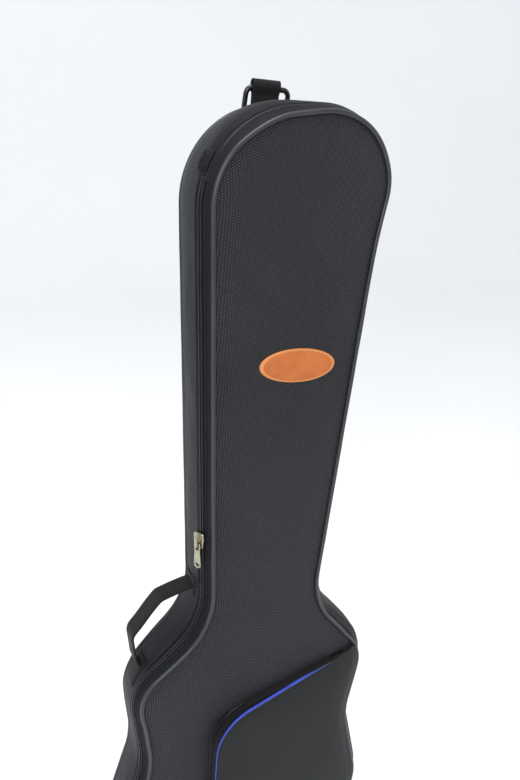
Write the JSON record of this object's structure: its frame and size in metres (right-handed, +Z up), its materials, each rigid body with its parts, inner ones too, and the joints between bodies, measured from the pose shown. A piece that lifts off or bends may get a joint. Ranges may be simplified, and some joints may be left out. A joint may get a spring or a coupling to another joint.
{
  "type": "padded gig bag",
  "caption": "Padded electric guitar gig bag standing on its tail, with zipped hinged front panel, slanted front pocket, carrying handle and hanging ring.",
  "frame": {"origin": "on the resting face of the front tail rail, under the middle of the bag", "axes": "+Z up towards the head of the bag, -Y out of the front panel, +X to the right seen from the front"},
  "size_m": [0.3922, 0.1136, 1.0876],
  "materials": {
    "ballistic_nylon": "coarse woven, dull sheen",
    "side_nylon": "fine woven",
    "foam": "closed cell foam",
    "lining": "brushed tricot",
    "welt_vinyl": "satin",
    "zip_tape": "fine woven",
    "zip_coil": "satin",
    "slider_metal": "antique",
    "leather": "tan, satin",
    "accent_blue": "satin",
    "rubber": "matte",
    "webbing": "ribbed",
    "ring_plastic": "satin"
  },
  "bodies": {
    "base": {"back_shell": "ballistic_nylon", "back_foam": "foam", "back_lining": "lining", "rear_gusset": "side_nylon", "rear_gusset_foam": "foam", "rear_gusset_lining": "lining", "back_piping": "welt_vinyl", "rear_zip_tape": "zip_tape", "rear_zip_coil": "zip_coil", "zip_end_tab": "webbing", "tail_rail_front": "rubber", "tail_rail_rear": "rubber", "neck_rest": "foam", "hang_tab": "webbing", "hang_tab_patch": "webbing", "handle_patch_upper": "webbing", "handle_patch_lower": "webbing", "strap_pad_left": "side_nylon", "strap_webbing_left": "webbing", "strap_anchor_left": "webbing", "strap_pad_right": "side_nylon", "strap_webbing_right": "webbing", "strap_anchor_right": "webbing", "strap_head_patch": "webbing"},
    "lid": {"front_shell": "ballistic_nylon", "front_foam": "foam", "front_lining": "lining", "front_gusset": "side_nylon", "front_piping": "welt_vinyl", "front_zip_tape": "zip_tape", "front_zip_coil": "zip_coil", "leather_badge": "leather", "pocket_panel": "ballistic_nylon", "pocket_gusset": "side_nylon", "pocket_piping": "accent_blue", "pocket_zip_tape": "zip_tape", "pocket_zip_coil": "zip_coil", "pocket_zip_tab": "webbing"},
    "zip_slider": {"zip_slider": "slider_metal"},
    "zip_pull": {"zip_pull": "slider_metal"},
    "pocket_slider": {"pocket_slider": "slider_metal"},
    "pocket_pull": {"pocket_pull": "slider_metal"},
    "carry_handle": {"carry_handle": "webbing"},
    "hang_ring": {"hang_ring": "ring_plastic"},
    "strap_adjuster_left": {"strap_adjuster_left": "ring_plastic"},
    "strap_adjuster_right": {"strap_adjuster_right": "ring_plastic"}
  },
  "joints": [
    {"name": "lid_hinge", "type": "hinge", "parent": "base", "child": "lid", "pos_m": [0.20749, -0.024, 0], "axis": [-0.0979, 0, 0.9952], "range_deg": [0, 120]},
    {"name": "zip_slide", "type": "slide", "parent": "base", "child": "zip_slider", "axis": [-0.052, 0, 0.9986], "range_m": [-0.05, 0.36]},
    {"name": "zip_pull_hinge", "type": "hinge", "parent": "zip_slider", "child": "zip_pull", "pos_m": [-0.0943, -0.0261, 0.57491], "axis": [-0.4993, 0.866, -0.026], "range_deg": [0, 130]},
    {"name": "pocket_zip_slide", "type": "slide", "parent": "lid", "child": "pocket_slider", "axis": [0, 0, 1], "range_m": [0, 0.18]},
    {"name": "pocket_pull_hinge", "type": "hinge", "parent": "pocket_slider", "child": "pocket_pull", "pos_m": [-0.07092, -0.043, 0.07388], "axis": [0, 1, 0], "range_deg": [0, 130]},
    {"name": "handle_swing", "type": "hinge", "parent": "base", "child": "carry_handle", "pos_m": [-0.095, 0.0082, 0.499], "axis": [0.578, 0, 0.816], "range_deg": [-35, 35]},
    {"name": "ring_swing", "type": "hinge", "parent": "base", "child": "hang_ring", "pos_m": [-0.01, 0.0411, 1.079], "axis": [1, 0, 0], "range_deg": [0, 150]},
    {"name": "strap_adjust_left", "type": "slide", "parent": "base", "child": "strap_adjuster_left", "axis": [-0.2211, 0, -0.9753], "range_m": [-0.035, 0.035]},
    {"name": "strap_adjust_right", "type": "slide", "parent": "base", "child": "strap_adjuster_right", "axis": [0.2211, 0, -0.9753], "range_m": [-0.035, 0.035]}
  ]
}
